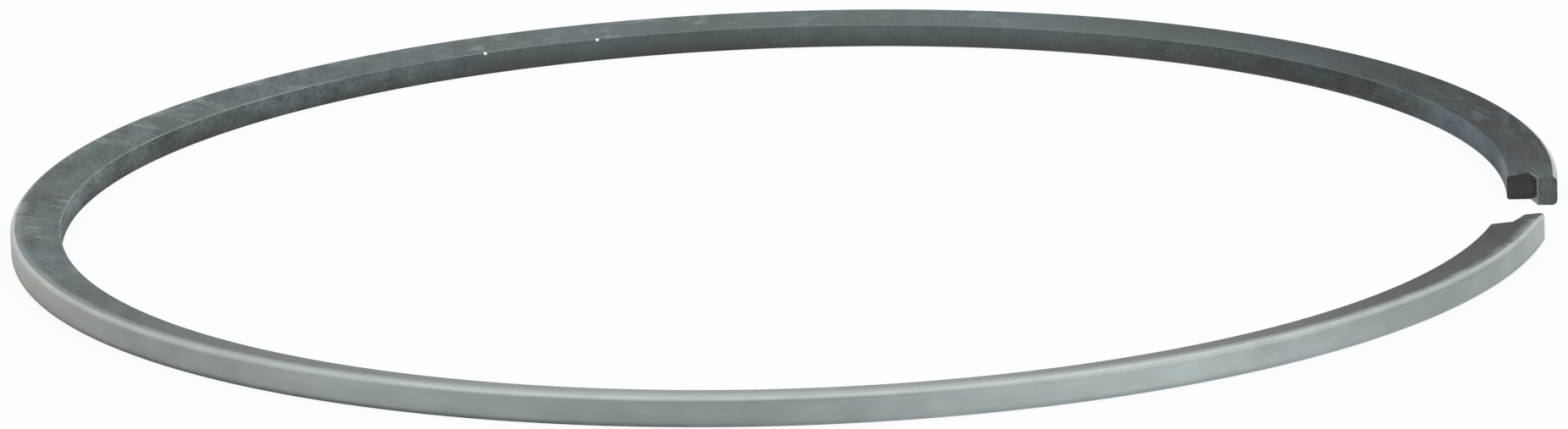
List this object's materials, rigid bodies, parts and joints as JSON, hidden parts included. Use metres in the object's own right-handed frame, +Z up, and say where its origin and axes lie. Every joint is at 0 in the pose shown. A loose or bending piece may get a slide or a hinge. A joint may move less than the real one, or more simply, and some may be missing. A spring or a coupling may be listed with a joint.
{
  "type": "piston ring",
  "caption": "Split piston ring lying free, with a half-keystone section, a chamfered bright running face and a pin notch in the inner corner of each end.",
  "frame": {"origin": "middle of the ring's outline in plan, on the plane that its lower flank lies on", "axes": "+Z up, square to the flanks; +X towards the gap; the ring is the same on both sides of Y = 0"},
  "size_m": [0.0764, 0.0776, 0.0015],
  "materials": {
    "ring_iron": "phosphated flanks, inner face and ends, with a satin bright running face"
  },
  "bodies": {
    "root": {"piston_ring": "ring_iron"}
  },
  "joints": []
}
